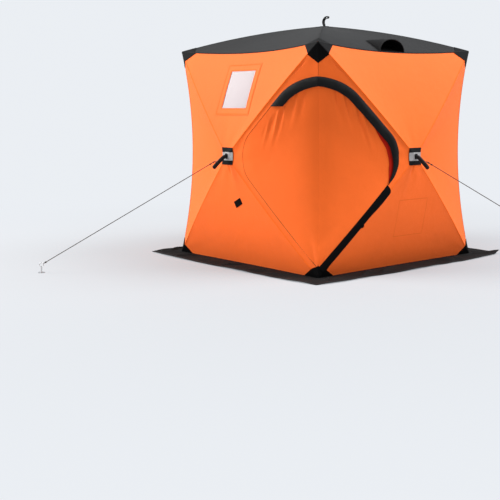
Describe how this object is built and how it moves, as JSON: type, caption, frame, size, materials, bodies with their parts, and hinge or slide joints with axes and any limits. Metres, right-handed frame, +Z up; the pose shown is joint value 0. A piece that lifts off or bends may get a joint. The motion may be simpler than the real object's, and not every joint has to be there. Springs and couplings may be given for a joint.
{
  "type": "pop-up ice fishing hut",
  "caption": "Free-standing fabric fishing hut with bowed hub walls, a zipped corner door, windows, a roof vent, a ground skirt and guyed pull straps.",
  "frame": {"origin": "middle of the footprint, on the ground", "axes": "+Z up; -Y is the front wall, which has a window; +X is the right wall; the door turns the corner between them"},
  "size_m": [4.652, 4.6518, 2.0962],
  "materials": {
    "orange_cloth": "matt woven cloth",
    "charcoal_cloth": "matt woven cloth",
    "black_cloth": "matt woven cloth",
    "skirt_cloth": "matt coated cloth",
    "window_film": "clear flexible film",
    "skylight_film": "clear flexible film",
    "rod_fibreglass": "smooth fibreglass",
    "hub_plastic": "moulded nylon",
    "webbing": "woven webbing",
    "rope": "braided cord",
    "anchor_steel": "zinc plated steel"
  },
  "bodies": {
    "root": {"front_wall_top_panel": "orange_cloth", "front_wall_foot_panel": "orange_cloth", "front_wall_right_panel": "orange_cloth", "front_wall_left_panel": "orange_cloth", "front_roof_panel": "charcoal_cloth", "front_wall_rods": "rod_fibreglass", "right_wall_top_panel": "orange_cloth", "right_wall_foot_panel": "orange_cloth", "right_wall_right_panel": "orange_cloth", "right_wall_left_panel": "orange_cloth", "right_roof_panel": "charcoal_cloth", "right_wall_rods": "rod_fibreglass", "back_wall_top_panel": "orange_cloth", "back_wall_foot_panel": "orange_cloth", "back_wall_right_panel": "orange_cloth", "back_wall_left_panel": "orange_cloth", "back_roof_panel": "charcoal_cloth", "back_wall_rods": "rod_fibreglass", "left_wall_top_panel": "orange_cloth", "left_wall_foot_panel": "orange_cloth", "left_wall_right_panel": "orange_cloth", "left_wall_left_panel": "orange_cloth", "left_roof_panel": "charcoal_cloth", "left_wall_rods": "rod_fibreglass", "door_panel": "orange_cloth", "upper_zip_cover": "black_cloth", "lower_zip_cover": "black_cloth", "window_panes": "window_film", "window_frames": "orange_cloth", "skylight": "skylight_film", "roof_vent_hood": "charcoal_cloth", "roof_rods": "rod_fibreglass", "wall_hubs": "hub_plastic", "roof_hub": "hub_plastic", "top_corner_joints": "hub_plastic", "foot_corner_joints": "hub_plastic", "top_corner_caps": "black_cloth", "foot_corner_boots": "black_cloth", "hub_patches": "black_cloth", "apex_patch": "black_cloth", "pull_loop": "webbing", "pull_straps": "webbing", "guy_ropes": "rope", "ice_anchors": "anchor_steel", "door_tieback_patch": "black_cloth", "ground_skirt": "skirt_cloth"}
  },
  "joints": []
}
